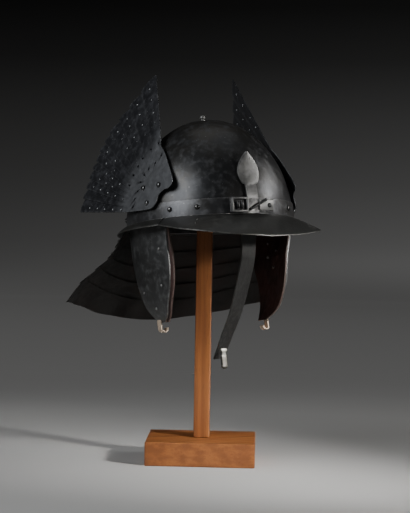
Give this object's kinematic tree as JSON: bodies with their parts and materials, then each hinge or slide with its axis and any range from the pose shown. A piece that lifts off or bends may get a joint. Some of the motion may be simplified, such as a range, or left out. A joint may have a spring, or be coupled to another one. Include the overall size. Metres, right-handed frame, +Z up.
{
  "type": "winged cavalry helmet on a display stand",
  "caption": "Blackened steel cavalry helmet with feathered side wings, peak, cheek pieces, lamed neck guard and chin strap, on a wooden post and block.",
  "frame": {"origin": "centre of the underside of the wooden stand's base block", "axes": "+Z up along the post; the helmet faces -Y; the wearer's left is +X"},
  "size_m": [0.326, 0.3258, 0.5017],
  "materials": {
    "blackened_steel": "blackened and polished, worn",
    "wing_steel": "matt dark blue-grey",
    "cheek_steel": "dark, hammered",
    "neck_guard_steel": "dull dark brown-black",
    "bright_steel": "bright, worn",
    "lining_leather": "dark red-brown, aged",
    "strap_leather": "dark grey, worn",
    "stand_wood": "clear satin"
  },
  "bodies": {
    "root": {"skull": "blackened_steel", "brow_band": "blackened_steel", "peak": "blackened_steel", "rear_rim": "blackened_steel", "crown_finial": "bright_steel", "leaf_plate": "bright_steel", "leaf_bracket": "bright_steel", "wing_right": "wing_steel", "wing_left": "wing_steel", "cheek_plate_right": "cheek_steel", "cheek_plate_left": "cheek_steel", "cheek_lining_right": "lining_leather", "cheek_lining_left": "lining_leather", "neck_lame_1": "neck_guard_steel", "neck_lame_2": "neck_guard_steel", "neck_lame_3": "neck_guard_steel", "neck_lame_4": "neck_guard_steel", "neck_lame_5": "neck_guard_steel", "chin_strap": "strap_leather", "strap_clasp": "bright_steel", "stand_base": "stand_wood", "stand_post": "stand_wood"}
  },
  "joints": []
}
